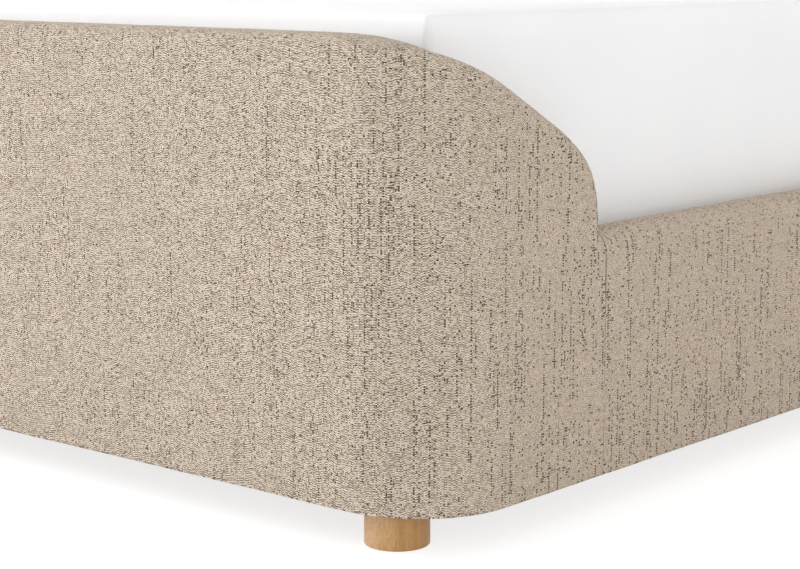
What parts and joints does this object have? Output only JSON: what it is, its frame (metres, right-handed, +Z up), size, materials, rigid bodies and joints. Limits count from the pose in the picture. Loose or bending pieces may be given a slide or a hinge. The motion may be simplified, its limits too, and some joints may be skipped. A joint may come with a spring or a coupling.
{
  "type": "upholstered bed",
  "caption": "Low upholstered bed with rounded corners, swept wings on footboard and headboard, side rails, slatted base, mattress and short turned wooden feet.",
  "frame": {"origin": "on the floor at the centre of the bed in plan", "axes": "+Z up, +Y along the bed towards the headboard, +X across the bed towards the right-hand rail seen from the foot end"},
  "size_m": [1.685, 2.202, 1.068],
  "materials": {
    "cover": "textured beige chenille weave with dark flecks",
    "foam": "upholstery foam",
    "ply": "unfinished plywood",
    "pine": "planed softwood",
    "beech": "clear satin lacquer",
    "bolt_steel": "zinc plated",
    "black_steel": "black powder coat",
    "webbing": "woven polyester webbing",
    "ticking": "plain white knitted ticking"
  },
  "bodies": {
    "frame": {"footboard_core": "ply", "footboard_foam": "foam", "footboard_cover": "cover", "headboard_core": "ply", "headboard_foam": "foam", "headboard_cover": "cover", "rail_left_board": "ply", "rail_left_foam": "foam", "rail_left_cover": "cover", "rail_right_board": "ply", "rail_right_foam": "foam", "rail_right_cover": "cover", "joint_plate_foot_left": "black_steel", "joint_bolt_foot_left_a": "bolt_steel", "joint_bolt_foot_left_b": "bolt_steel", "joint_plate_head_left": "black_steel", "joint_bolt_head_left_a": "bolt_steel", "joint_bolt_head_left_b": "bolt_steel", "foot_foot_left": "beech", "foot_bolt_foot_left": "bolt_steel", "corner_block_foot_left": "pine", "foot_head_left": "beech", "foot_bolt_head_left": "bolt_steel", "corner_block_head_left": "pine", "joint_plate_foot_right": "black_steel", "joint_bolt_foot_right_a": "bolt_steel", "joint_bolt_foot_right_b": "bolt_steel", "joint_plate_head_right": "black_steel", "joint_bolt_head_right_a": "bolt_steel", "joint_bolt_head_right_b": "bolt_steel", "foot_foot_right": "beech", "foot_bolt_foot_right": "bolt_steel", "corner_block_foot_right": "pine", "foot_head_right": "beech", "foot_bolt_head_right": "bolt_steel", "corner_block_head_right": "pine", "slat_ledge_left": "pine", "slat_ledge_right": "pine", "centre_beam": "pine", "beam_hanger_foot": "black_steel", "centre_leg_foot": "beech", "beam_hanger_head": "black_steel", "centre_leg_head": "beech"},
    "slat_deck": {"slat_01": "pine", "slat_02": "pine", "slat_03": "pine", "slat_04": "pine", "slat_05": "pine", "slat_06": "pine", "slat_07": "pine", "slat_08": "pine", "slat_09": "pine", "slat_10": "pine", "slat_11": "pine", "slat_12": "pine", "slat_strap_left": "webbing", "slat_strap_right": "webbing"},
    "mattress": {"mattress": "ticking"}
  },
  "joints": [
    {"name": "slat_deck_lift", "type": "slide", "parent": "frame", "child": "slat_deck", "axis": [0, 0, 1], "range_m": [0, 0.32]},
    {"name": "mattress_lift", "type": "slide", "parent": "slat_deck", "child": "mattress", "axis": [0, 0, 1], "range_m": [0, 0.35]}
  ]
}
